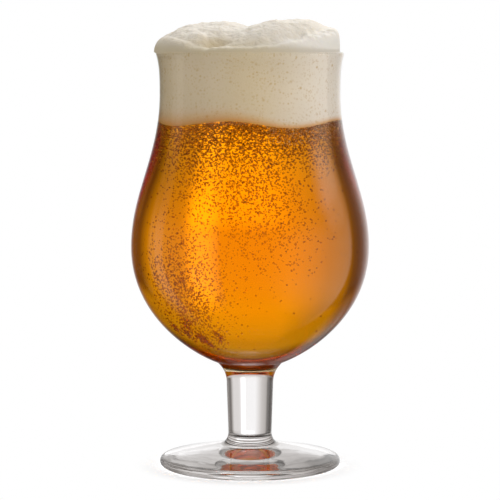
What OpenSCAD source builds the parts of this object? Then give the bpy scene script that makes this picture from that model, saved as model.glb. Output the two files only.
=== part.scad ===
// Tulip beer glass, filled: a blown bowl, a drawn stem and a pressed foot fused end to end,
// holding beer and the head of foam that stands over its lip.
// Millimetres, +Z up, origin on the table under the middle of the foot.

/* [Foot] */
// Outside diameter of the foot
foot_diameter = 65.6; // [50:0.2:90]
// Thickness of the foot's round edge
foot_edge_thickness = 3.5; // [2:0.1:6]
// Height that the top of the foot climbs from its edge to the collar
foot_rise = 4.1; // [1:0.1:10]
// Width of the flat ring that stands on the table
rest_ring_width = 4; // [2:0.5:8]
// Depth of the shallow hollow inside that ring
foot_hollow_depth = 1.2; // [0.4:0.1:3]
// Diameter of the collar where it leaves the foot
collar_diameter = 23.4; // [20:0.2:34]
// Height of the collar between the foot and the stem
collar_height = 4.5; // [2:0.1:10]

/* [Stem] */
// Diameter of the stem at its lower end, where it is fused to the collar
stem_lower_diameter = 15.7; // [10:0.1:19]
// Diameter of the stem at the start of its flare
stem_upper_diameter = 16.9; // [10:0.1:22]
// Length of the straight taper of the stem
stem_length = 17.4; // [8:0.1:60]
// Length of the flare between the taper and the bowl
flare_length = 8.3; // [4:0.1:15]
// Diameter of the flare where it is fused to the bowl
flare_diameter = 23.8; // [23:0.1:30]

/* [Bowl] */
// Outside diameter of the belly
belly_diameter = 86; // [76:0.5:110]
// Height of the belly above the stem
belly_rise = 42; // [34:0.1:60]
// Slope of the underside of the bowl where it meets the flare
underside_angle = 20.7; // [5:0.1:26]
// Outside diameter of the waist under the lip
waist_diameter = 65; // [56:0.5:74]
// Height of the waist above the belly
shoulder_height = 55.3; // [40:0.1:80]
// Outside diameter of the lip
lip_diameter = 67.5; // [66:0.5:80]
// Height of the lip above the waist
lip_height = 14.9; // [8:0.1:25]
// Thickness of the side wall and of the rounded lip
wall = 1.7; // [1:0.1:3]
// Thickness of the glass between the beer and the stem
floor_thickness = 5; // [1.5:0.1:8]

/* [Beer and foam] */
// Depth of the beer's surface below the lip
beer_below_lip = 25; // [6:0.5:60]
// Diameter of the foam where it stands out over the lip
crown_diameter = 67.8; // [65.8:0.2:74]
// Distance that the foam has slipped towards the left of the glass
crown_slip = 0.6; // [0:0.1:2]
// Height of the foam's edge above the lip, halfway round
crown_height = 5.5; // [3.5:0.1:12]
// Extra height of that edge at the right side, and what the left side lacks
crown_lean = 1.9; // [0:0.1:3]
// Extra height of that edge at the back, and what the front lacks
crown_pitch = 2.4; // [0:0.1:3]
// Height of the right mound over the edge
right_mound_height = 5.5; // [0:0.1:15]
// Reach of the right mound from its middle
right_mound_reach = 14.5; // [6:0.5:20]
// Height of the left mound over the edge
left_mound_height = 5; // [0:0.1:15]
// Reach of the left mound from its middle
left_mound_reach = 14.5; // [6:0.5:20]
// Gap between the top of the lip and the foam that stands over it
foam_gap = 0.1; // [0.05:0.05:1]

/* [Hidden] */
$fn = 96;

// Radius of the rounded lip, which is as thick as the wall
lip_round_r = wall / 2;

// Heights, stacked from the table up
foot_top_z = foot_edge_thickness + foot_rise;
stem_z = foot_top_z + collar_height;
flare_z = stem_z + stem_length;
bowl_z = flare_z + flare_length;
belly_z = bowl_z + belly_rise;
waist_z = belly_z + shoulder_height;
rim_z = waist_z + lip_height;
lip_z = rim_z - lip_round_r;
floor_z = bowl_z + floor_thickness;
beer_z = rim_z - beer_below_lip;
crown_z = rim_z + foam_gap;

// Radii
foot_r = foot_diameter / 2;
edge_r = foot_edge_thickness / 2;
rest_r = foot_r - edge_r;
hollow_r = rest_r - rest_ring_width;
collar_r = collar_diameter / 2;
stem_lower_r = stem_lower_diameter / 2;
stem_upper_r = stem_upper_diameter / 2;
flare_r = flare_diameter / 2;
belly_r = belly_diameter / 2;
waist_r = waist_diameter / 2;
lip_r = lip_diameter / 2;
crown_r = crown_diameter / 2;
lip_mouth_r = lip_r - wall;

// Lengths of the curve handles, as shares of the stretch that they shape
underside_share = 0.387;
belly_lower_share = 0.568;
belly_upper_share = 0.358;
waist_share = 0.4;
floor_share = 0.45;
// Places of the two mounds, as shares of the foam's radius, right and back from the middle
right_mound_shares = [0.4, -0.12];
left_mound_shares = [-0.4, 0.24];
// Rings of the foam's crown, as shares of its radius from the edge to near the middle
crown_ring_shares = [1, 0.999, 0.995, 0.985, 0.965, 0.93, 0.87, 0.78, 0.66, 0.52, 0.38, 0.24, 0.1];

// How sharply the lip and the flare turn out, and how square the foam's edge and mounds are
lip_power = 3.4;
flare_power = 2.6;
crown_power = 36;
mound_power = 4;

// Counts of the steps along a curve and round the foam
long_steps = 20;
short_steps = 10;
foam_sides = 64;

// Point on a cubic curve from a to d with the handles b and c
function curve_point(a, b, c, d, t) =
    a * pow(1 - t, 3) + b * 3 * t * pow(1 - t, 2) + c * 3 * t * t * (1 - t) + d * pow(t, 3);

// Points after a along that curve, up to d
function curve(a, b, c, d, steps) =
    [for (i = [1 : steps]) curve_point(a, b, c, d, i / steps)];

// Points of a quarter or half round from one angle to another, with its own radius each way
function round_edge(middle, reach, rise, from, to, steps) =
    [for (i = [0 : steps]) let (a = from + (to - from) * i / steps) middle + [reach * cos(a), rise * sin(a)]];

// Side of the bowl from the belly up to the lip, drawn in by an inset
function side(inset) = concat(
    curve([belly_r - inset, belly_z],
          [belly_r - inset, belly_z + belly_upper_share * shoulder_height],
          [waist_r - inset, waist_z - waist_share * shoulder_height],
          [waist_r - inset, waist_z], long_steps),
    [for (i = [1 : short_steps]) let (t = i / short_steps)
        [waist_r - inset + (lip_r - waist_r) * pow(t, lip_power), waist_z + (lip_z - waist_z) * t]]);

// Inner wall from the middle of the floor up to the lip, which the beer and the foam share
inner_wall = concat(
    [[0, floor_z]],
    curve([0, floor_z],
          [floor_share * (belly_r - wall), floor_z],
          [belly_r - wall, belly_z - belly_lower_share * (belly_z - floor_z)],
          [belly_r - wall, belly_z], long_steps),
    side(wall));
inner_radii = [for (p = inner_wall) [p[1], p[0]]];
beer_r = lookup(beer_z, inner_radii);

// Outer wall from the flare up to the lip
underside_reach = underside_share * (belly_r - flare_r);
outer_wall = concat(
    [[flare_r, bowl_z]],
    curve([flare_r, bowl_z],
          [flare_r + underside_reach * cos(underside_angle), bowl_z + underside_reach * sin(underside_angle)],
          [belly_r, belly_z - belly_lower_share * belly_rise],
          [belly_r, belly_z], long_steps),
    side(0));

function reversed(points) = [for (i = [len(points) - 1 : -1 : 0]) points[i]];

// Thin-walled bowl with a fire-rounded lip and a flat disc under its floor for the stem
module bowl() {
    lip_round = round_edge([lip_r - lip_round_r, lip_z], lip_round_r, lip_round_r, 0, 180, short_steps);
    lip_inside = [for (i = [1 : short_steps - 1]) lip_round[i]];
    color([0.86, 0.89, 0.89, 0.35])
        rotate_extrude()
            polygon(concat([[0, bowl_z]], outer_wall, lip_inside, reversed(inner_wall)));
}

// Solid stem with a slight taper that flares out under the bowl
module stem() {
    flare = [for (i = [1 : short_steps]) let (t = i / short_steps)
        [stem_upper_r + (flare_r - stem_upper_r) * pow(t, flare_power), flare_z + flare_length * t]];
    color([0.88, 0.9, 0.9, 0.35])
        rotate_extrude()
            polygon(concat([[0, stem_z], [stem_lower_r, stem_z], [stem_upper_r, flare_z]], flare, [[0, bowl_z]]));
}

// Foot with a round edge, a low cone on top, a collar for the stem and a shallow hollow below
module foot() {
    slope = atan(foot_rise / (rest_r - collar_r));
    hollow = [for (i = [0 : short_steps - 1]) let (t = i / short_steps)
        [hollow_r * t, foot_hollow_depth * (1 - t * t)]];
    edge = round_edge([rest_r, edge_r], edge_r, edge_r, -90, 90 - slope, short_steps);
    collar = round_edge([collar_r, stem_z], stem_lower_r - collar_r, foot_top_z - stem_z, 90, 0, short_steps);
    color([0.84, 0.87, 0.87, 0.35])
        rotate_extrude()
            polygon(concat(hollow, [[hollow_r, 0]], edge, collar, [[0, stem_z]]));
}

// Beer that fills the bowl up to its level surface
module beer() {
    wet_wall = [for (p = inner_wall) if (p[1] < beer_z) p];
    color([0.87, 0.52, 0.06, 0.85])
        rotate_extrude()
            polygon(concat(wet_wall, [[beer_r, beer_z], [0, beer_z]]));
}

// Height of one mound over the foam's edge, at a point of the crown
function mound(point, middle, reach, height) = height * exp(-pow(norm(point - middle) / reach, mound_power));

// Height of the whole crown above the lip, at a point and its share of the crown's radius
function crown_rise(point, share) =
    sqrt(1 - pow(share, crown_power))
    * (crown_height + (crown_lean * point[0] + crown_pitch * point[1]) / crown_r
       + mound(point, crown_r * right_mound_shares, right_mound_reach, right_mound_height)
       + mound(point, crown_r * left_mound_shares, left_mound_reach, left_mound_height));

function round_ring(radius, z) =
    [for (i = [0 : foam_sides - 1]) let (a = 360 * i / foam_sides) [radius * cos(a), radius * sin(a), z]];

function crown_ring(share) =
    [for (i = [0 : foam_sides - 1])
        let (a = 360 * i / foam_sides, point = crown_r * share * [cos(a), sin(a)])
        [point[0] - crown_slip, point[1], crown_z + crown_rise(point, share)]];

// Head of foam: a plug between the beer and the lip, and a crown with two mounds over it
module foam_head() {
    plug = concat(
        [[beer_r, beer_z]],
        [for (p = inner_wall) if (p[1] > beer_z) p],
        [[lip_mouth_r, crown_z]]);
    rings = concat(
        [for (p = plug) round_ring(p[0], p[1])],
        [for (share = crown_ring_shares) crown_ring(share)]);
    ring_points = [for (ring = rings) for (point = ring) point];
    middle_bottom = len(ring_points);
    middle_top = middle_bottom + 1;
    top_ring = middle_bottom - foam_sides;
    points = concat(ring_points, [[0, 0, beer_z], [-crown_slip, 0, crown_z + crown_rise([0, 0], 0)]]);
    bands = [for (ring = [0 : len(rings) - 2]) for (i = [0 : foam_sides - 1])
        let (low = ring * foam_sides, high = low + foam_sides, next = (i + 1) % foam_sides)
        each [[low + i, high + next, low + next], [low + i, high + i, high + next]]];
    bottom = [for (i = [0 : foam_sides - 1]) [middle_bottom, i, (i + 1) % foam_sides]];
    top = [for (i = [0 : foam_sides - 1]) [middle_top, top_ring + (i + 1) % foam_sides, top_ring + i]];
    color([0.93, 0.9, 0.84])
        polyhedron(points, concat(bands, bottom, top));
}

bowl();
stem();
foot();
beer();
foam_head();
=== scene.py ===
# Tulip beer glass, full of amber beer under a domed head of foam
import math
import random

import bpy
from mathutils import Euler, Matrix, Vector, noise


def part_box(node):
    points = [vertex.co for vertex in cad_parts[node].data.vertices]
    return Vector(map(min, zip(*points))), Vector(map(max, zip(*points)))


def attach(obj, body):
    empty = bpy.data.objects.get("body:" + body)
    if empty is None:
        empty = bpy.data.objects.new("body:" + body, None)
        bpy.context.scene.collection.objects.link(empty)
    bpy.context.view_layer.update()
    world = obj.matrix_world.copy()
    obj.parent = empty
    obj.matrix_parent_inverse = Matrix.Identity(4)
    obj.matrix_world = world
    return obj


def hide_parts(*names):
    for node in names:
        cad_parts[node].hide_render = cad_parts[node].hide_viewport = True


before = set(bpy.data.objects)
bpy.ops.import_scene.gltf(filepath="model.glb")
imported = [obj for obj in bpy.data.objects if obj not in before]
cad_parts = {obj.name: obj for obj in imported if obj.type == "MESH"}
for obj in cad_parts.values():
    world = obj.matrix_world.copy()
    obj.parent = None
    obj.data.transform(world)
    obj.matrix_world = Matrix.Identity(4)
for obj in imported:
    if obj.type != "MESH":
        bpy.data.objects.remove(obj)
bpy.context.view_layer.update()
scene = bpy.context.scene
mm = 0.001

# Sizes that the parts in model.glb give
bowl_low, bowl_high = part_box("bowl")
stem_low, stem_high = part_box("stem")
_, foot_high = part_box("foot")
beer_low, beer_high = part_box("beer")
_, foam_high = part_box("foam_head")
belly_r = bowl_high.x
flare_r = stem_high.x
foot_r = foot_high.x
stem_z = stem_low.z
bowl_z = bowl_low.z
rim_z = bowl_high.z
floor_z = beer_low.z
beer_z = beer_high.z

# Bowl: its wall, and the belly, waist and lip that the side runs through
wall = 1.7 * mm
lip_round_r = wall / 2
lip_z = rim_z - lip_round_r
belly_z = bowl_z + 42 * mm
waist_r = 32.5 * mm
waist_z = belly_z + 55.3 * mm
lip_r = 33.75 * mm
shoulder = waist_z - belly_z
underside_angle = math.radians(20.7)
underside_share = 0.387
belly_lower_share = 0.568
belly_upper_share = 0.358
waist_share = 0.4
floor_share = 0.45
lip_power = 3.4

# Stem: a straight taper, then the flare that carries the bowl
stem_lower_r = 7.85 * mm
stem_upper_r = 8.45 * mm
flare_z = stem_z + 17.4 * mm
flare_power = 2.6

# Foot: a round edge, a low cone on top, a hollow collar round the stem and a shallow hollow below
foot_edge_r = 1.75 * mm
rest_ring_width = 4 * mm
foot_hollow_depth = 1.2 * mm
collar_r = 11.7 * mm
collar_z = stem_z - 4.5 * mm
rest_r = foot_r - foot_edge_r
foot_hollow_r = rest_r - rest_ring_width

# How far the beer and the foam reach into the glass, and the beer into the foam, so that no film of air is
# drawn between them
beer_bite = 0.06 * mm
foam_bite = 0.12 * mm
beer_under_foam = 2.6 * mm

# Fineness of the meshes
round_steps = 192
foam_steps = 288
beer_steps = 144
bottom_steps = 44
shoulder_steps = 56
lip_flare_steps = 20
lip_round_steps = 12
stem_flare_steps = 16
foot_curve_steps = 14
merge_distance = 0.001 * mm
smooth_angle = math.radians(40)
level_normal = 0.99


def curve(start, start_handle, end_handle, end, steps):
    """Points along a cubic curve, from its start to its end."""
    points = []
    for i in range(steps + 1):
        t = i / steps
        weights = ((1 - t) ** 3, 3 * t * (1 - t) ** 2, 3 * t ** 2 * (1 - t), t ** 3)
        corners = (start, start_handle, end_handle, end)
        points.append(tuple(sum(w * c[k] for w, c in zip(weights, corners)) for k in (0, 1)))
    return points


def side(inset):
    """The bowl's side from the belly up to the lip, set in from the outside."""
    points = curve(
        (belly_r - inset, belly_z),
        (belly_r - inset, belly_z + belly_upper_share * shoulder),
        (waist_r - inset, waist_z - waist_share * shoulder),
        (waist_r - inset, waist_z),
        shoulder_steps,
    )
    for i in range(1, lip_flare_steps + 1):
        t = i / lip_flare_steps
        r = waist_r - inset + (lip_r - waist_r) * t ** lip_power
        points.append((r, waist_z + (lip_z - waist_z) * t))
    return points


def underside():
    """The bowl's outside from the stem up to the belly."""
    reach = underside_share * (belly_r - flare_r)
    return curve(
        (flare_r, bowl_z),
        (flare_r + reach * math.cos(underside_angle), bowl_z + reach * math.sin(underside_angle)),
        (belly_r, belly_z - belly_lower_share * (belly_z - bowl_z)),
        (belly_r, belly_z),
        bottom_steps,
    )


def hollow(inset, low_z):
    """The bowl's inside from the middle of its floor up to the belly."""
    r = belly_r - inset
    return curve(
        (0, low_z),
        (floor_share * r, low_z),
        (r, belly_z - belly_lower_share * (belly_z - low_z)),
        (r, belly_z),
        bottom_steps,
    )


def inside(bite):
    """The bowl's inside from its floor up to the lip, or the side of a filling that bites into it."""
    return hollow(wall - bite, floor_z - bite) + side(wall - bite)[1:]


inner_wall = inside(0)


def wall_radius(z):
    """The bowl's inner radius at a height."""
    for (r0, z0), (r1, z1) in zip(inner_wall, inner_wall[1:]):
        if z0 <= z <= z1 and z1 > z0:
            return r0 + (r1 - r0) * (z - z0) / (z1 - z0)
    return inner_wall[-1][0]


# Modelling


def lathe(name, outline, steps):
    """Extrudes a vertex along an outline of (radius, height) points and spins it about the glass's axis."""
    bpy.ops.object.select_all(action="DESELECT")
    bpy.ops.mesh.primitive_plane_add(size=wall)
    piece = bpy.context.object
    piece.name = piece.data.name = name
    bpy.ops.object.mode_set(mode="EDIT")
    bpy.ops.mesh.merge(type="CENTER")
    at = (0, 0)
    for i, (r, z) in enumerate(outline):
        step = (r - at[0], 0, z - at[1])
        if i == 0:
            bpy.ops.transform.translate(value=step)
        else:
            bpy.ops.mesh.extrude_region_move(TRANSFORM_OT_translate={"value": step})
        at = (r, z)
    bpy.ops.mesh.select_all(action="SELECT")
    bpy.ops.mesh.spin(steps=steps, angle=math.tau, center=(0, 0, 0), axis=(0, 0, 1))
    bpy.ops.mesh.select_all(action="SELECT")
    bpy.ops.mesh.remove_doubles(threshold=merge_distance)
    bpy.ops.mesh.normals_make_consistent(inside=False)
    bpy.ops.object.mode_set(mode="OBJECT")
    bpy.ops.object.shade_smooth_by_angle(angle=smooth_angle)
    return piece


def dress(piece, slot, *materials):
    """Gives a piece its materials and fixes it to the glass. A piece whose slot is clear glass lets the lamps
    through to the foam and the table."""
    piece.data.materials.clear()
    for material in materials:
        piece.data.materials.append(material)
    piece.visible_shadow = slot != "clear_glass"
    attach(piece, "root")


def give_faces(piece, index, belongs):
    """Gives one of the piece's materials to the faces whose middle and normal belong."""
    for face in piece.data.polygons:
        if belongs(face.center, face.normal):
            face.material_index = index


# Materials


def colour(hex_code):
    """An sRGB hex colour as linear light."""
    parts = [int(hex_code[i:i + 2], 16) / 255 for i in (1, 3, 5)]
    linear = [p / 12.92 if p <= 0.04045 else ((p + 0.055) / 1.055) ** 2.4 for p in parts]
    return (*linear, 1)


def add(tree, kind, inputs=(), **settings):
    """Adds a node with its settings. An input is a value, or a socket that is linked to it."""
    node = tree.nodes.new(kind)
    for name, value in settings.items():
        setattr(node, name, value)
    for name, value in dict(inputs).items():
        if isinstance(value, bpy.types.NodeSocket):
            tree.links.new(value, node.inputs[name])
        else:
            node.inputs[name].default_value = value
    return node


def new_material(name):
    """A material with an empty tree and its output."""
    material = bpy.data.materials.new(name)
    material.use_nodes = True
    tree = material.node_tree
    tree.nodes.clear()
    return material, tree, tree.nodes.new("ShaderNodeOutputMaterial")


def clear_glass(name, wave_spacing, wave_strength, wet=False):
    """Soda-lime glass: quite clear, with a sharp gloss. Faint waves from drawing and pressing bend what shows
    through it. Where beer wets it, the beer takes the gloss off."""
    material, tree, output = new_material(name)
    wave_depth = 0.3 * mm
    place = add(tree, "ShaderNodeTexCoord")
    waves = add(tree, "ShaderNodeTexNoise", {
        "Vector": place.outputs["Object"], "Scale": 1 / wave_spacing, "Detail": 1.0, "Roughness": 0.4})
    bump = add(tree, "ShaderNodeBump", {
        "Height": waves.outputs["Fac"], "Strength": wave_strength, "Distance": wave_depth})
    glass = add(tree, "ShaderNodeBsdfPrincipled", {
        "Base Color": colour("#FDFBFB"), "Roughness": 0.0, "IOR": 1.5, "Transmission Weight": 1.0,
        "Normal": bump.outputs["Normal"]})
    if wet:
        glass.inputs["Specular Tint"].default_value = colour("#000000")
    tree.links.new(glass.outputs["BSDF"], output.inputs["Surface"])
    return material


def fused_joint(name, clearness):
    """Glass fused to glass: light passes the joint straight, and a seam dims it."""
    material, tree, output = new_material(name)
    clear = add(tree, "ShaderNodeBsdfTransparent", {"Color": colour(clearness)})
    tree.links.new(clear.outputs["BSDF"], output.inputs["Surface"])
    return material


beer_ior = 1.34
foam_ior = 1.33
foam_roughness = 0.65


def amber_beer():
    """Clear amber beer: it bends light like water, and it takes out blue, then green, the deeper it is."""
    material, tree, output = new_material("clear amber beer")
    beer = add(tree, "ShaderNodeBsdfPrincipled", {
        "Base Color": colour("#FFFFFF"), "Roughness": 0.0, "IOR": beer_ior, "Transmission Weight": 1.0,
        "Specular Tint": colour("#000000")})
    depth = add(tree, "ShaderNodeVolumeAbsorption", {"Color": colour("#FFEC00"), "Density": 100.0})
    tree.links.new(beer.outputs["BSDF"], output.inputs["Surface"])
    tree.links.new(depth.outputs["Volume"], output.inputs["Volume"])
    return material


def gas_bubble():
    """The skin of a gas bubble in the beer: it bends and mirrors light the other way round."""
    material, tree, output = new_material("gas bubble in beer")
    skin = add(tree, "ShaderNodeBsdfPrincipled", {
        "Base Color": colour("#FFDDA8"), "Roughness": 0.0, "IOR": beer_ior, "Transmission Weight": 1.0})
    tree.links.new(skin.outputs["BSDF"], output.inputs["Surface"])
    return material


def beer_foam():
    """Fine-bubbled foam: matt and soft, because light scatters in it. It is off-white above the lip and beige
    behind the glass, with tan specks where larger bubbles lie. Painted light from the right makes it paler to
    the right, and painted shade keeps the left of the collar beige higher up. Painted amber light from the
    beer lies on its lower edge, and painted shade in the hollow and on the hills. It is rough above the lip,
    and the glass presses it smooth. Real foam has finer bubbles than the picture can show, so they are drawn
    coarser."""
    material, tree, output = new_material("matt beer foam")
    bubble_spacing = 0.9 * mm
    bubble_depth = 0.3 * mm
    rough_spacing = 2.6 * mm
    rough_depth = 0.6 * mm
    rough_from_z = rim_z - 0.5 * mm
    rough_to_z = rim_z + 1.5 * mm
    cloud_spacing = 16 * mm
    patch_spacing = 6 * mm
    scatter_reach = 1.5 * mm
    # Painted light from the right: the foam grows paler towards the right, and painted shade keeps the left
    # of the collar beige higher up
    lit_from_right_x = 32 * mm
    pale_from_z = rim_z + 0.5 * mm
    pale_left_z = rim_z + 7 * mm
    pale_right_z = rim_z + 1.5 * mm
    speck_core_share = 0.05
    # Layers of specks: their spacing, their widest share of it, the share that shows, and their darkness
    speck_layers = ((2.9 * mm, 0.26, 0.5, 0.75), (1.5 * mm, 0.36, 0.65, 0.65), (0.9 * mm, 0.45, 0.7, 0.5))

    place = add(tree, "ShaderNodeTexCoord").outputs["Object"]
    axes = add(tree, "ShaderNodeSeparateXYZ", {0: place})
    height = axes.outputs["Z"]
    clouds = add(tree, "ShaderNodeTexNoise", {"Vector": place, "Scale": 1 / cloud_spacing, "Detail": 3.0})
    lit_from_right = add(tree, "ShaderNodeMapRange", {
        "Value": axes.outputs["X"], "From Min": 0.0, "From Max": lit_from_right_x},
        interpolation_type="SMOOTHSTEP").outputs["Result"]
    pale_to_z = add(tree, "ShaderNodeMapRange", {
        "Value": lit_from_right, "To Min": pale_left_z, "To Max": pale_right_z}).outputs["Result"]
    above = add(tree, "ShaderNodeMapRange", {
        "Value": height, "From Min": pale_from_z, "From Max": pale_to_z},
        interpolation_type="SMOOTHSTEP").outputs["Result"]
    cloudy = add(tree, "ShaderNodeMix", {
        "Factor": clouds.outputs["Fac"], "A": colour("#C5B593"), "B": colour("#D0C3A9")}, data_type="RGBA")
    behind_glass = add(tree, "ShaderNodeMix", {
        "Factor": lit_from_right, "A": cloudy.outputs["Result"], "B": colour("#D8D0C3")}, data_type="RGBA")
    body = add(tree, "ShaderNodeMix", {
        "Factor": above, "A": behind_glass.outputs["Result"], "B": colour("#F0E9DE")}, data_type="RGBA")

    in_bowl = add(tree, "ShaderNodeMath", {0: height, 1: rim_z}, operation="LESS_THAN")
    patches = add(tree, "ShaderNodeTexNoise", {"Vector": place, "Scale": 1 / patch_spacing, "Detail": 2.0})
    patchy = add(tree, "ShaderNodeMapRange", {
        "Value": patches.outputs["Fac"], "From Min": 0.38, "From Max": 0.6, "To Min": 0.3, "To Max": 1.0})
    mask = add(tree, "ShaderNodeMath", {0: patchy.outputs["Result"], 1: in_bowl.outputs[0]},
               operation="MULTIPLY")
    specked = body
    for spacing, widest_share, chosen_share, darkness in speck_layers:
        cells = add(tree, "ShaderNodeTexVoronoi", {"Vector": place, "Scale": 1 / spacing})
        speck = add(tree, "ShaderNodeMapRange", {
            "Value": cells.outputs["Distance"], "From Min": speck_core_share, "From Max": widest_share,
            "To Min": darkness, "To Max": 0.0})
        chance = add(tree, "ShaderNodeSeparateColor", {0: cells.outputs["Color"]})
        chosen = add(tree, "ShaderNodeMath", {0: chance.outputs["Red"], 1: 1 - chosen_share},
                     operation="GREATER_THAN")
        shown = add(tree, "ShaderNodeMath", {0: chosen.outputs[0], 1: mask.outputs[0]}, operation="MULTIPLY")
        share = add(tree, "ShaderNodeMath", {0: speck.outputs["Result"], 1: shown.outputs[0]},
                    operation="MULTIPLY")
        specked = add(tree, "ShaderNodeMix", {
            "Factor": share.outputs[0], "A": specked.outputs["Result"], "B": colour("#B3935A")},
            data_type="RGBA")
    shade = add(tree, "ShaderNodeAttribute", attribute_name="hollow_shade")
    shaded = add(tree, "ShaderNodeMix", {
        "Factor": shade.outputs["Fac"], "A": specked.outputs["Result"], "B": colour("#C9B48C")},
        data_type="RGBA")
    # Painted amber light from the beer on the foam's lower edge
    tint = add(tree, "ShaderNodeAttribute", attribute_name="painted_beer_light")
    tinted = add(tree, "ShaderNodeMix", {
        "Factor": tint.outputs["Fac"], "A": shaded.outputs["Result"], "B": colour("#C48C40")},
        data_type="RGBA")

    over_lip = add(tree, "ShaderNodeMapRange", {
        "Value": height, "From Min": rough_from_z, "From Max": rough_to_z}).outputs["Result"]
    rough = add(tree, "ShaderNodeTexNoise", {
        "Vector": place, "Scale": 1 / rough_spacing, "Detail": 4.0, "Roughness": 0.6})
    uneven = add(tree, "ShaderNodeBump", {
        "Height": rough.outputs["Fac"], "Strength": over_lip, "Distance": rough_depth})
    bubbly = add(tree, "ShaderNodeMapRange", {"Value": over_lip, "To Min": 0.12, "To Max": 0.5})
    bubbles = add(tree, "ShaderNodeTexVoronoi", {"Vector": place, "Scale": 1 / bubble_spacing},
                  feature="SMOOTH_F1")
    bump = add(tree, "ShaderNodeBump", {
        "Height": bubbles.outputs["Distance"], "Strength": bubbly.outputs["Result"], "Distance": bubble_depth,
        "Normal": uneven.outputs["Normal"]})
    foam = add(tree, "ShaderNodeBsdfPrincipled", {
        "Base Color": tinted.outputs["Result"], "Roughness": foam_roughness, "Subsurface Weight": 0.35,
        "Subsurface Radius": (1.0, 0.9, 0.7), "Subsurface Scale": scatter_reach, "IOR": foam_ior,
        "Normal": bump.outputs["Normal"]})
    tree.links.new(foam.outputs["BSDF"], output.inputs["Surface"])
    return material


def lit_foam():
    """The middle of the foam's underside. It glows with painted light, which stands in for the light that
    comes down through the foam.
    """
    material, tree, output = new_material("foam lit through from above")
    foam = add(tree, "ShaderNodeBsdfPrincipled", {
        "Base Color": colour("#D7C9AC"), "Roughness": foam_roughness, "IOR": foam_ior,
        "Emission Color": colour("#FFCE84"), "Emission Strength": 0.42})
    tree.links.new(foam.outputs["BSDF"], output.inputs["Surface"])
    return material


blown_wave_spacing = 7 * mm
pressed_wave_spacing = 5 * mm
dry_glass = clear_glass("fire-polished soda-lime glass", blown_wave_spacing, 0.05)
wet_glass = clear_glass("glass wetted by beer", blown_wave_spacing, 0.05, wet=True)
pressed_glass = clear_glass("pressed soda-lime glass", pressed_wave_spacing, 0.1)
joint_glass = fused_joint("fused glass joint", "#FFFFFF")
seam_glass = fused_joint("drawn glass seam", "#F4F1EC")
beer_finish = amber_beer()
bubble_finish = gas_bubble()
foam_finish = beer_foam()
lit_foam_finish = lit_foam()


# Glass pieces


def at_height(z):
    """A test for the flat faces of a joint at this height."""
    return lambda middle, normal: abs(middle.z - z) < merge_distance and abs(normal.z) > level_normal


def lip():
    """The half round of the fire-polished lip, from the outside over to the inside."""
    middle_r = lip_r - lip_round_r
    turns = [math.pi * i / lip_round_steps for i in range(1, lip_round_steps)]
    return [(middle_r + lip_round_r * math.cos(t), lip_z + lip_round_r * math.sin(t)) for t in turns]


def make_bowl():
    """The blown bowl, closed at the joint to the stem. The beer wets its inside."""
    outline = [(0, bowl_z)] + underside() + side(0)[1:] + lip() + inner_wall[::-1]
    bowl = lathe("glass_bowl", outline, round_steps)
    margin = wall / 3

    def wetted(middle, normal):
        on_inside = middle.xy.length < wall_radius(middle.z) + margin
        return on_inside and floor_z - margin < middle.z < beer_z

    dress(bowl, "clear_glass", dry_glass, joint_glass, wet_glass)
    give_faces(bowl, 1, at_height(bowl_z))
    give_faces(bowl, 2, wetted)
    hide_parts("bowl")


def make_stem():
    """The drawn stem, closed at its two joints."""
    outline = [(0, stem_z), (stem_lower_r, stem_z), (stem_upper_r, flare_z)]
    for i in range(1, stem_flare_steps + 1):
        t = i / stem_flare_steps
        r = stem_upper_r + (flare_r - stem_upper_r) * t ** flare_power
        outline.append((r, flare_z + (bowl_z - flare_z) * t))
    outline.append((0, bowl_z))
    stem = lathe("glass_stem", outline, round_steps)
    dress(stem, "clear_glass", dry_glass, joint_glass, seam_glass)
    give_faces(stem, 1, at_height(stem_z))
    give_faces(stem, 2, at_height(bowl_z))
    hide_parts("stem")


def make_foot():
    """The pressed foot, closed at its joint to the stem."""
    steps = foot_curve_steps
    outline = [(foot_hollow_r * i / steps, foot_hollow_depth * (1 - (i / steps) ** 2)) for i in range(steps)]
    outline += [(foot_hollow_r, 0), (rest_r, 0)]
    for i in range(1, steps + 1):
        t = math.pi * (i / steps - 0.5)
        outline.append((rest_r + foot_edge_r * math.cos(t), foot_edge_r + foot_edge_r * math.sin(t)))
    outline.append((collar_r, collar_z))
    for i in range(1, steps + 1):
        t = math.pi / 2 * i / steps
        r = collar_r - (collar_r - stem_lower_r) * math.sin(t)
        outline.append((r, stem_z - (stem_z - collar_z) * math.cos(t)))
    outline.append((0, stem_z))
    foot = lathe("glass_foot", outline, round_steps)
    dress(foot, "clear_glass", pressed_glass, joint_glass)
    give_faces(foot, 1, at_height(stem_z))
    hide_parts("foot")


# Beads, used for the gas bubbles in the beer and for the fine bubbles of foam on the glass


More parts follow.
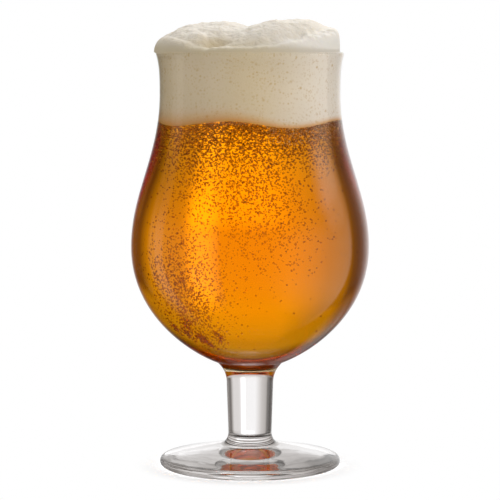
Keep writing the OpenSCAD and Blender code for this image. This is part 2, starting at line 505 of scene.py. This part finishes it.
def make_beads(name, places, turned_in=False):
    """Copies one modelled bead with eight faces to every place, given as its middle and radius, each turned
    its own way. Turned in, it is a void."""
    chance = random.Random(len(places))
    half_height = 1
    bpy.ops.object.select_all(action="DESELECT")
    bpy.ops.mesh.primitive_cone_add(
        vertices=4, radius1=half_height, depth=half_height, end_fill_type="NOTHING",
        location=(0, 0, half_height / 2))
    bpy.ops.object.transform_apply(location=True)
    bpy.ops.object.mode_set(mode="EDIT")
    bpy.ops.mesh.select_all(action="SELECT")
    bpy.ops.mesh.symmetrize(direction="POSITIVE_Z")
    bpy.ops.mesh.normals_make_consistent(inside=False)
    bpy.ops.object.mode_set(mode="OBJECT")
    bead = bpy.context.object
    corners = [v.co.copy() for v in bead.data.vertices]
    faces = [tuple(f.vertices) for f in bead.data.polygons]
    if turned_in:
        faces = [face[::-1] for face in faces]
    bpy.data.objects.remove(bead)
    all_corners = []
    all_faces = []
    for x, y, z, r in places:
        first = len(all_corners)
        turn = Euler([chance.uniform(0, math.tau) for _ in range(3)]).to_matrix()
        all_corners += [Vector((x, y, z)) + r * (turn @ c) for c in corners]
        all_faces += [tuple(first + i for i in face) for face in faces]
    mesh = bpy.data.meshes.new(name)
    mesh.from_pydata(all_corners, [], all_faces)
    mesh.shade_smooth()
    piece = bpy.data.objects.new(name, mesh)
    scene.collection.objects.link(piece)
    return piece


def join_to(piece, beads):
    """Joins the beads to a piece."""
    bpy.ops.object.select_all(action="DESELECT")
    beads.select_set(True)
    piece.select_set(True)
    bpy.context.view_layer.objects.active = piece
    bpy.ops.object.join()


def point_at(bearing, z, off_axis):
    """A point at a bearing and height, this far from the axis."""
    turn = math.radians(bearing)
    return off_axis * math.sin(turn), -off_axis * math.cos(turn), z


# Foam head: bearings are in degrees from the front, positive to the right, and heights are above the lip

# Crown: the ledge along its edge, by bearing, and the outlines and ridges of its two hills, by x
crown_limit = foam_high.z - rim_z
ledge_heights_mm = ((-180, 5.0), (-120, 4.0), (-90, 2.8), (-45, 2.0), (0, 2.0), (30, 3.6), (60, 6.2),
                    (90, 7.2), (135, 6.4), (180, 5.0))
ledge_dip_share = 0.25
ledge_inner_share = 0.86
ledge_slope_share = 0.12
left_hill_mm = ((-36, 2.6), (-32, 4.6), (-29, 5.9), (-26, 8.2), (-23, 9.4), (-16, 10.2), (-9, 11.0),
                (-5, 10.3), (0, 8.9), (6, 6.5), (14, 5.0), (36, 4.0))
left_hill_y_mm = ((-36, 6), (36, 6))
left_hill_front = 31 * mm
left_hill_back = 26 * mm
right_hill_mm = ((-36, 1.0), (-22, 1.4), (-15, 2.8), (-9, 5.1), (-4, 7.6), (0, 9.2), (5, 10.6), (9, 11.5),
                 (18, 11.6), (22.5, 11.3), (26.5, 9.4), (31.5, 7.3), (36, 6.0))
right_hill_y_mm = ((-36, -9), (8, -9), (20, -5), (28, 4), (36, 8))
right_hill_front = 20 * mm
right_hill_back = 30 * mm
hill_end_share = 1.2
hill_power = 2.2
crease_softness = 0.5 * mm
ledge_softness = 0.6 * mm

# Crown: a knoll and a hollow at the front left, and lumps given by their spacing and rise
knoll_x = -18 * mm
knoll_y = -15 * mm
knoll_reach = 6.5 * mm
knoll_height = 7.0 * mm
hollow_x = -12.5 * mm
hollow_y = -21 * mm
hollow_reach = 4.5 * mm
hollow_depth = 1.3 * mm
lumps_mm = ((7.0, 0.5), (3.2, 0.3), (1.6, 0.2), (0.9, 0.08))

# Crown: pits that burst bubbles leave in its front, and bubbles that stand out along the ledge at the right
pit_seed = 5
pit_count = 26
pit_bearings = (-70, 70)
pit_off_axis_mm = (15, 29)
pit_reaches_mm = (0.6, 1.0)
pit_depths_mm = (0.2, 0.5)
ledge_bubble_count = 40
ledge_bubble_bearings = (25, 80)
ledge_bubble_off_axis_mm = (27.5, 29.5)
ledge_bubble_reaches_mm = (0.6, 0.9)
ledge_bubble_rises_mm = (0.2, 0.45)

# Crown: how its wall rolls over into its top, by bearing, and how it bulges over the lip
edge_soft_shares = ((-180, 0.12), (-130, 0.15), (-80, 0.15), (-40, 0.12), (0, 0.1), (40, 0.1), (75, 0.11),
                    (110, 0.11), (180, 0.12))
edge_powers = ((-180, 2.0), (-60, 2.0), (0, 2.2), (40, 2.8), (75, 4.0), (120, 3.0), (180, 2.0))
crown_step = 0.2 * mm
overhang = 2.2 * mm
overhang_bearing = -85
overhang_spread = 34

# Crown as it is first spun, before each of its points moves to its own height
spun_height = 5 * mm
wall_rise_share = 0.72
round_share = 0.955
wall_rise_steps = 8
roll_steps = 6
top_steps = 68

# Lower edge: a wave round the glass, strongest at the front, which fades upwards
foam_wave = 1.4 * mm
wave_count = 4
wave_turn = 15
wave_share = 0.45
wave_front_share = 0.55
wave_front_spread = 60
wave_fade = 9 * mm
plug_floor_steps = 8

# Colour of the foam: the painted amber light from the beer at its lower edge, deeper to the left, the painted
# shade in the hollow and on the hills, and the part of its underside that glows with painted light
tint_left = 6.5 * mm
tint_right = 2.2 * mm
tint_from_bearing = -20
tint_turn = 50
tint_power = 1.5
tint_rim_share = 0.87
bead_beer_light = 0.55
hollow_shade = 0.7
hill_shade = 0.22
hill_shade_rise = 2 * mm
lit_share = 0.6
underside_normal = -0.6

# Fine bubbles of foam on the glass, under the foam's right edge
foam_bead_seed = 3
foam_bead_count = 650
foam_bead_bearings = (10, 84)
foam_bead_radii_mm = (0.11, 0.2)
foam_bead_drop = 6 * mm
foam_bead_power = 1.4


def blend(t):
    """A smooth step from 0 to 1."""
    t = min(max(t, 0.0), 1.0)
    return t * t * (3 - 2 * t)


def along(table, at, smooth=True):
    """The value of a table of (place, value) pairs at a place between them, in smooth or straight steps."""
    for (a0, v0), (a1, v1) in zip(table, table[1:]):
        if a0 <= at <= a1:
            t = (at - a0) / (a1 - a0)
            return v0 + (v1 - v0) * (blend(t) if smooth else t)
    return table[-1][1]


def bearing_of(x, y):
    """The bearing of a point."""
    return math.degrees(math.atan2(x, -y))


def crown_radius(bearing):
    """Radius of the foam above the lip. It goes on from the inner wall and bulges out to the left."""
    bulge = math.exp(-((bearing - overhang_bearing) / overhang_spread) ** 2)
    return lip_r - wall + crown_step + overhang * bulge


def hill(outline_mm, y_mm, front, back, x, y):
    """Height of a hill whose outline shows from the front. It falls off to both sides of its ridge."""
    ridge_y = along(y_mm, x / mm, smooth=False) * mm
    away = (ridge_y - y) / front if y < ridge_y else (y - ridge_y) / back
    return along(outline_mm, x / mm, smooth=False) * mm * (1 - min(abs(away), hill_end_share) ** hill_power)


def crown_pits():
    """Middle, reach and depth of the small pits in the crown's front. The bubbles along the ledge stand out,
    so their depth is negative."""
    chance = random.Random(pit_seed)
    found = []
    for _ in range(pit_count):
        x, y, _ = point_at(chance.uniform(*pit_bearings), 0, chance.uniform(*pit_off_axis_mm) * mm)
        found.append((x, y, chance.uniform(*pit_reaches_mm) * mm, chance.uniform(*pit_depths_mm) * mm))
    for _ in range(ledge_bubble_count):
        bearing = chance.uniform(*ledge_bubble_bearings)
        x, y, _ = point_at(bearing, 0, chance.uniform(*ledge_bubble_off_axis_mm) * mm)
        reach = chance.uniform(*ledge_bubble_reaches_mm) * mm
        found.append((x, y, reach, -chance.uniform(*ledge_bubble_rises_mm) * mm))
    return found


pits = crown_pits()


def soft_highest(heights, softness):
    """The highest of some heights, with a soft crease where two are alike."""
    return softness * math.log(sum(math.exp(height / softness) for height in heights))


def dip(x, y, middle_x, middle_y, reach):
    """How deep in a round dip a point lies, from 1 in its middle to 0 away from it."""
    return math.exp(-(((x - middle_x) ** 2 + (y - middle_y) ** 2) / reach ** 2))


def crown_height(x, y):
    """Height of the foam's top above the lip: the ledge along its edge, the two hills and the knoll, with
    soft creases between them, then a hollow, pits and lumps."""
    hills = soft_highest((
        hill(left_hill_mm, left_hill_y_mm, left_hill_front, left_hill_back, x, y),
        hill(right_hill_mm, right_hill_y_mm, right_hill_front, right_hill_back, x, y),
        knoll_height * dip(x, y, knoll_x, knoll_y, knoll_reach),
    ), crease_softness)
    crest = 1 - ledge_dip_share * blend((ledge_inner_share - math.hypot(x, y) / lip_r) / ledge_slope_share)
    ledge = crest * along(ledge_heights_mm, bearing_of(x, y)) * mm
    height = soft_highest((ledge, hills), ledge_softness)
    height -= hollow_depth * dip(x, y, hollow_x, hollow_y, hollow_reach)
    for pit_x, pit_y, reach, depth in pits:
        height -= depth * dip(x, y, pit_x, pit_y, reach)
    for spacing, rise in lumps_mm:
        height += rise * mm * noise.noise(Vector((x, y, spacing * mm)) / (spacing * mm))
    return min(height, crown_limit)


def crown_point(out_share, level, bearing):
    """A point of the crown. Its wall rolls over into its top, steeply to the right and softly elsewhere."""
    soft = along(edge_soft_shares, bearing)
    power = along(edge_powers, bearing)
    edge_r = crown_radius(bearing)
    inner_r = edge_r * (1 - soft)
    on_top = level > 1 - merge_distance
    r = inner_r * out_share / round_share
    if not on_top:
        r = edge_r * (1 - soft * (1 - (1 - level ** power) ** (1 / power)))
    if level == 0:
        r = lip_r - wall
    x, y, _ = point_at(bearing, 0, r if on_top else inner_r)
    height = crown_height(x, y) * level
    return point_at(bearing, rim_z + height, r)


def foam_edge(bearing):
    """How far the foam's lower edge stands above the beer's level, as a wave round the glass."""
    swell = wave_share + wave_front_share * math.exp(-(bearing / wave_front_spread) ** 2)
    return foam_wave * math.cos(math.radians(wave_count * (bearing + wave_turn))) * swell


def foam_bead_places():
    """Middle and radius of the fine bubbles of foam on the glass, closest together just under the foam."""
    chance = random.Random(foam_bead_seed)
    places = []
    for _ in range(foam_bead_count):
        bearing = chance.uniform(*foam_bead_bearings)
        r = chance.uniform(*foam_bead_radii_mm) * mm
        z = beer_z + foam_edge(bearing) - chance.random() ** foam_bead_power * foam_bead_drop
        places.append((*point_at(bearing, z, wall_radius(z) + foam_bite - r), r))
    return places


def foam_outline(low_r, top_r):
    """The foam's outline as it is spun: its floor, its side along the bowl's wall, and a plain crown."""
    outline = [(low_r * i / plug_floor_steps, beer_z) for i in range(plug_floor_steps + 1)]
    outline += [point for point in inside(foam_bite) if beer_z < point[1] < lip_z]
    for i in range(wall_rise_steps + 1):
        outline.append((top_r, rim_z + spun_height * wall_rise_share * i / wall_rise_steps))
    for i in range(1, roll_steps + 1):
        t = math.pi / 2 * i / roll_steps
        outline.append((top_r * (round_share + (1 - round_share) * math.cos(t)),
                        rim_z + spun_height * (wall_rise_share + (1 - wall_rise_share) * math.sin(t))))
    for i in range(1, top_steps + 1):
        outline.append((top_r * round_share * (1 - i / top_steps), rim_z + spun_height))
    return outline


def make_foam():
    """The head of foam: a plug in the bowl that follows its wall, and a crown with hills above the lip. The
    middle of its underside glows with painted light."""
    low_r = wall_radius(beer_z) + foam_bite
    top_r = lip_r - wall
    foam = lathe("foam_cap", foam_outline(low_r, top_r), foam_steps)
    tints = foam.data.attributes.new("painted_beer_light", "FLOAT", "POINT")
    shades = foam.data.attributes.new("hollow_shade", "FLOAT", "POINT")
    for vertex in foam.data.vertices:
        x, y, z = vertex.co
        r = math.hypot(x, y)
        bearing = bearing_of(x, y)
        if z > rim_z - merge_distance:
            vertex.co = crown_point(r / top_r, max(0.0, (z - rim_z) / spun_height), bearing)
            x, y, z = vertex.co
            over_ledge = z - rim_z - along(ledge_heights_mm, bearing) * mm
            shades.data[vertex.index].value = (hollow_shade * dip(x, y, hollow_x, hollow_y, hollow_reach)
                                               + hill_shade * blend(over_ledge / hill_shade_rise))
            continue
        rise = foam_edge(bearing) * max(0.0, 1 - (z - beer_z) / wave_fade) * blend(r / low_r)
        vertex.co.z = z + rise
        if r > wall_radius(z):
            grow = (wall_radius(z + rise) + foam_bite) / r
            vertex.co.x = x * grow
            vertex.co.y = y * grow
        # Painted amber light from the beer, deeper to the left, fading upwards from the beer's level
        depth = tint_left + (tint_right - tint_left) * blend((bearing - tint_from_bearing) / tint_turn)
        tint = max(0.0, 1 - (z - beer_z) / depth) ** tint_power
        tints.data[vertex.index].value = tint * blend((r / low_r - tint_rim_share) / (1 - tint_rim_share))
    own = len(foam.data.vertices)
    join_to(foam, make_beads("foam_beads", foam_bead_places()))
    # The fine foam beads get the painted amber light too
    for point in foam.data.attributes["painted_beer_light"].data[own:]:
        point.value = bead_beer_light

    # Faces of the underside that get the painted glow
    def lit_through(middle, normal):
        on_underside = normal.z < underside_normal and middle.z < beer_z + foam_wave
        return on_underside and middle.xy.length < lit_share * low_r

    dress(foam, "beer_foam", foam_finish, lit_foam_finish)
    give_faces(foam, 1, lit_through)
    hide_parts("foam_head")


# Beer

# Bubbles: their sizes, and how close they come to the foam and the wall
bubble_seed = 7
smallest_bubble_mm = 0.23
bubble_growth_mm = 0.25
foam_clearance = 0.2 * mm
wall_clearance = 0.1 * mm

# Fog of short chains of bubbles under the foam
fog_chains = 7000
fog_size_share = 0.78
fog_depth = 8 * mm
fog_kept_share = 0.92
chain_beads = 2
chain_step = 0.34 * mm

# Groups of bubbles near the wall: their count, bearing in degrees and its spread, height in mm and its spread
group_depth = 7 * mm
bubble_groups = {
    "plume": (2900, 3, 17, 103, 14),
    "upper left": (1000, -33, 12, 112, 9),
    "upper right": (260, 44, 13, 118, 5),
    "lower left": (2100, -38, 13, 68, 10),
    "all over": (120, 0, 38, 90, 20),
}

# Clumps of bubbles on the wall at the lower left: the bearing in degrees and the height in mm of each
clump_middles = ((-62, 54.5), (-52, 53), (-42, 51.5), (-38, 50), (-24, 52.3), (-46, 56))
clump_bubbles = 95
clump_bearing_spread = 2.2
clump_height_spread = 1.2
clump_depth = 2 * mm


def bubble_places():
    """Middle and radius of each gas bubble: a fog of short chains under the foam that thins out downwards,
    groups along the front, and clumps at the lower left."""
    chance = random.Random(bubble_seed)
    places = []

    def put(x, y, z, r):
        off_axis = math.hypot(x, y)
        top = beer_z + foam_edge(bearing_of(x, y)) * blend(off_axis / wall_radius(beer_z)) - foam_clearance
        if floor_z + 2 * r < z < top - r and off_axis + r < wall_radius(z) - beer_bite:
            places.append((x, y, z, r))

    def size():
        return (smallest_bubble_mm + bubble_growth_mm * chance.random() ** 2) * mm

    def put_near_wall(bearing, z, depth):
        r = size()
        off_axis = wall_radius(z) - r - wall_clearance - chance.random() ** 2 * depth
        put(*point_at(bearing, z, off_axis), r)

    for _ in range(fog_chains):
        z = beer_z + foam_wave + fog_depth * math.log(1 - fog_kept_share * chance.random())
        start = Vector(point_at(chance.uniform(-180, 180), z, math.sqrt(chance.random()) * wall_radius(z)))
        way = Vector((chance.uniform(-1, 1), chance.uniform(-1, 1), chance.uniform(-1, 1))).normalized()
        for step in range(chain_beads):
            put(*(start + way * step * chain_step), fog_size_share * size())
    for count, bearing, bearing_spread, height, height_spread in bubble_groups.values():
        for _ in range(count):
            put_near_wall(chance.gauss(bearing, bearing_spread),
                          chance.gauss(height, height_spread) * mm, group_depth)
    for bearing, height in clump_middles:
        for _ in range(clump_bubbles):
            put_near_wall(chance.gauss(bearing, clump_bearing_spread),
                          chance.gauss(height, clump_height_spread) * mm, clump_depth)
    return places


def make_beer():
    """The beer, with its gas bubbles as voids in it. Its top is hidden in the foam."""
    top_z = beer_z + beer_under_foam
    outline = [point for point in inside(beer_bite) if point[1] < top_z]
    outline += [(wall_radius(top_z) + beer_bite, top_z), (0, top_z)]
    beer = lathe("amber_beer", outline, beer_steps)
    own = len(beer.data.polygons)
    join_to(beer, make_beads("gas_bubbles", bubble_places(), turned_in=True))
    dress(beer, "amber_beer", beer_finish, bubble_finish)
    for face in beer.data.polygons[own:]:
        face.material_index = 1
    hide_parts("beer")


# Stage

# Table: what the camera sees of it fades to white between two circles round the foot
table_r = 105 * mm
table_corners = 96
fade_from_r = foot_r - 6 * mm
fade_to_r = foot_r + 10 * mm

# Studio: a light has stops of (degrees, level) along its bearing, which is 0 behind the glass and positive to
# the right, and then along its height over the horizon
whole_turn = 360
half_turn = 180

# Studio lights that show bent through the glass and the beer
backdrop = (
    ((-58, 0.05), (-43, 0.1), (-37.5, 0.17), (-33, 0.44), (-22, 0.6), (-9, 1), (12, 1), (20, 0.76),
     (34, 0.75), (39, 0.5), (42, 0.34), (45, 0.2), (50, 0.16), (56, 0.23), (63, 0.32), (75, 0.42),
     (95, 0.45)),
    ((-75, 0.02), (-48, 0.04), (-40, 0.12), (-30, 0.75), (-24, 1), (9, 1), (19, 0.78), (26, 0.57), (31, 0.46),
     (40, 0.38), (80, 0.3)),
)
sides = (
    ((-180, 0.4), (-100, 0.4), (-85, 0.1), (85, 0.1), (100, 0.4), (180, 0.4)),
    ((-45, 0.15), (-20, 1)),
)
upper_sides = (
    ((-75, 0), (-60, 0.2), (-37, 0.28), (-28, 0.6), (28, 0.68), (37, 0.64), (60, 0.62), (75, 0.3)),
    ((7, 0), (15, 1), (28, 1), (42, 0)),
)
lower_side = (
    ((42, 0), (52, 0.32), (80, 0.42), (95, 0.3)),
    ((-50, 0.2), (-35, 1), (-15, 1), (-8, 0)),
)
lower_shade = (
    ((12, 0), (30, 0.4), (60, 0.4)),
    ((-40, 1), (-22, 1), (-8, 0)),
)
low_hot_spot = (
    ((-10, 0), (-4, 0.5), (8, 0.5), (14, 0.35), (18, 0)),
    ((-20, 0), (-14, 1), (-10.5, 1), (-8, 0)),
)
tall_hot_spot = (
    ((7, 0), (10, 0.6), (14, 0.6), (17, 0)),
    ((-20, 0), (-12, 1), (6, 1), (12, 0)),
)

# Studio lights that show mirrored in the glass
soft_boxes = (
    ((-180, 0.03), (-152, 0.04), (-146, 0.36), (-132, 0.42), (-122, 0.24), (-108, 0.2), (-95, 0.25),
     (-88, 0.3), (-86, 0.8), (-76, 0.8), (-74, 0.36), (-68, 0.36), (-63, 0), (63, 0), (67, 0.85), (85, 0.85),
     (100, 0.74), (115, 0.6), (130, 0.42), (145, 0.2), (160, 0.08), (180, 0.03)),
    ((-60, 0.02), (-48, 0.3), (-38, 0.7), (-28, 1), (0, 0.9), (6, 0.75), (14, 0.3), (20, 0.15), (45, 0.1)),
)
tall_box = (
    ((60, 0), (66, 0.35), (74, 0.9), (80, 1), (92, 1), (102, 0.3), (110, 0)),
    ((-8, 0), (6, 0.4), (11, 0.55), (14.5, 0.55), (16.5, 0.8), (18.5, 1), (26, 1), (34, 0)),
)
tall_box_strength = 1.75
window = (
    ((-138, 0), (-134, 0.45), (-120, 0.45), (-116, 0)),
    ((-36, 0), (-31, 1), (-15, 1), (-10, 0)),
)
backdrop_glow = (
    ((-62, 0), (-28, 0.03), (-20, 0.16), (-12, 0.6), (0, 0.9), (20, 0.95), (30, 0.65), (40, 0.26), (50, 0.12),
     (62, 0.05)),
    ((-30, 0), (-20, 0.2), (-10, 0.85), (-5, 1), (12, 1), (25, 0.5), (60, 0.2)),
)
table_glow = (
    ((4, 0), (12, 0.4), (26, 0.45), (40, 0.15), (52, 0)),
    ((-46, 0), (-38, 1), (-26, 1), (-18, 0)),
)

# Lamps: each has its place, what it is aimed at, and its watts
lamp_size = 400 * mm
lip_middle = (0, 0, 150 * mm)
shoulder_middle = (0, 0, 120 * mm)
lamps = {
    "overhead soft box": ((80 * mm, 420 * mm, 520 * mm), lip_middle, 2.7),
    "right soft box": ((650 * mm, -500 * mm, 350 * mm), shoulder_middle, 3.75),
    "left soft box": ((-650 * mm, -450 * mm, 300 * mm), shoulder_middle, 2.1),
}

# Camera
camera_place = Vector((0, -850 * mm, 160 * mm))
camera_aim = Vector((0, 0, 78.58 * mm))
lens_mm = 169.94
sensor_mm = 36


def make_table():
    """A pale round table top. It keeps the glass's shadow, and away from that it fades to white for the
    camera."""
    bpy.ops.object.select_all(action="DESELECT")
    bpy.ops.mesh.primitive_circle_add(vertices=table_corners, radius=table_r, fill_type="NGON")
    table = bpy.context.object
    table.name = "table"
    material, tree, output = new_material("white table top")
    place = add(tree, "ShaderNodeTexCoord").outputs["Object"]
    away = add(tree, "ShaderNodeVectorMath", {0: place}, operation="LENGTH")
    far = add(tree, "ShaderNodeMapRange", {
        "Value": away.outputs["Value"], "From Min": fade_from_r, "From Max": fade_to_r},
        interpolation_type="SMOOTHSTEP")
    path = add(tree, "ShaderNodeLightPath")
    share = add(tree, "ShaderNodeMath", {0: far.outputs["Result"], 1: path.outputs["Is Camera Ray"]},
                operation="MULTIPLY")
    paper = add(tree, "ShaderNodeBsdfDiffuse", {"Color": colour("#F4F4F4")})
    white = add(tree, "ShaderNodeEmission", {"Strength": 1.0})
    mixed = add(tree, "ShaderNodeMixShader", {0: share.outputs[0], 1: paper.outputs[0], 2: white.outputs[0]})
    tree.links.new(mixed.outputs[0], output.inputs["Surface"])
    table.data.materials.append(material)
    table.visible_glossy = False
    table.visible_transmission = False


def ramp(tree, share, stops, span):
    """A ramp of grey through (degrees, level) stops. The share goes from 0 to 1 over a span of degrees."""
    node = add(tree, "ShaderNodeValToRGB", {0: share})
    elements = node.color_ramp.elements
    while len(elements) < len(stops):
        elements.new(1)
    for element, (degrees, level) in zip(elements, stops):
        element.position = 0.5 + degrees / span
        element.color = (level, level, level, 1)
    return node.outputs["Color"]


def make_studio():
    """A white backdrop behind the glass, soft boxes on its sides and dark gaps between them, which draw the
    glass's edges. Foam and table get a plain level of light, and the camera itself sees white all round."""
    world = bpy.data.worlds.new("studio")
    scene.world = world
    world.use_nodes = True
    tree = world.node_tree
    tree.nodes.clear()
    way = add(tree, "ShaderNodeTexCoord").outputs["Generated"]
    axes = add(tree, "ShaderNodeSeparateXYZ", {0: way})
    turn = add(tree, "ShaderNodeMath", {0: axes.outputs["X"], 1: axes.outputs["Y"]}, operation="ARCTAN2")
    turn_share = add(tree, "ShaderNodeMapRange", {
        "Value": turn.outputs[0], "From Min": -math.pi, "From Max": math.pi}).outputs["Result"]
    rise = add(tree, "ShaderNodeMath", {0: axes.outputs["Z"]}, operation="ARCSINE")
    rise_share = add(tree, "ShaderNodeMapRange", {
        "Value": rise.outputs[0], "From Min": -math.pi / 2, "From Max": math.pi / 2}).outputs["Result"]

    def blended(first, second, how):
        return add(tree, "ShaderNodeMix", {"Factor": 1.0, "A": first, "B": second}, data_type="RGBA",
                   blend_type=how).outputs["Result"]

    def light(stops):
        turn_stops, rise_stops = stops
        sideways = ramp(tree, turn_share, turn_stops, whole_turn)
        upwards = ramp(tree, rise_share, rise_stops, half_turn)
        return blended(sideways, upwards, "MULTIPLY")

    def chosen(factor, first, second):
        return add(tree, "ShaderNodeMix", {"Factor": factor, "A": first, "B": second},
                   data_type="RGBA").outputs["Result"]

    # Light that the glass and the beer bend
    bent = light(backdrop)
    for stops in (sides, upper_sides, lower_side):
        bent = blended(bent, light(stops), "LIGHTEN")
    bent = blended(bent, blended(colour("#FFFFFF"), light(lower_shade), "SUBTRACT"), "MULTIPLY")
    for stops in (low_hot_spot, tall_hot_spot):
        bent = blended(bent, light(stops), "ADD")
    bent = blended(bent, chosen(bent, colour("#FFF4EA"), colour("#FFFFFF")), "MULTIPLY")

    # Light that the glass mirrors
    mirrored = light(soft_boxes)
    brightness = (tall_box_strength, tall_box_strength, tall_box_strength, 1)
    mirrored = blended(mirrored, blended(light(tall_box), brightness, "MULTIPLY"), "LIGHTEN")
    for stops in (window, backdrop_glow, table_glow):
        mirrored = blended(mirrored, light(stops), "LIGHTEN")

    # What each kind of ray sees
    path = add(tree, "ShaderNodeLightPath")
    seen = chosen(path.outputs["Is Transmission Ray"], mirrored, bent)
    seen = chosen(path.outputs["Diffuse Depth"], seen, colour("#989898"))
    seen = chosen(path.outputs["Is Camera Ray"], seen, colour("#FFFFFF"))
    background = add(tree, "ShaderNodeBackground", {"Color": seen, "Strength": 1.0})
    output = add(tree, "ShaderNodeOutputWorld")
    tree.links.new(background.outputs[0], output.inputs["Surface"])
    # Only rays that reach the studio by themselves see it, so that each gets the light for its kind
    world.cycles.sampling_method = "NONE"


def make_lamp(name, place, aim, watts):
    """A square soft lamp that faces a point. It isn't mirrored in the glass."""
    lamp = bpy.data.lights.new(name, "AREA")
    lamp.size = lamp_size
    lamp.energy = watts
    lamp.cycles.use_multiple_importance_sampling = False
    holder = bpy.data.objects.new(name, lamp)
    holder.location = place
    holder.rotation_euler = (Vector(aim) - Vector(place)).to_track_quat("-Z", "Y").to_euler()
    scene.collection.objects.link(holder)


def make_camera():
    """A long lens, a little above the lip, aimed at the belly."""
    lens = bpy.data.cameras.new("camera")
    lens.lens = lens_mm
    lens.sensor_width = sensor_mm
    camera = bpy.data.objects.new("camera", lens)
    camera.location = camera_place
    camera.rotation_euler = (camera_aim - camera_place).to_track_quat("-Z", "Y").to_euler()
    scene.collection.objects.link(camera)
    scene.camera = camera


make_bowl()
make_stem()
make_foot()
make_beer()
make_foam()
make_table()
make_studio()
for lamp_name, (lamp_place, lamp_aim, lamp_watts) in lamps.items():
    make_lamp(lamp_name, lamp_place, lamp_aim, lamp_watts)
make_camera()

# Enough bounces for light to pass every wall of glass, beer and bubbles
light_bounces = 32
scene.view_settings.view_transform = "Standard"
scene.cycles.max_bounces = light_bounces
scene.cycles.glossy_bounces = light_bounces
scene.cycles.transmission_bounces = light_bounces
scene.cycles.transparent_max_bounces = light_bounces
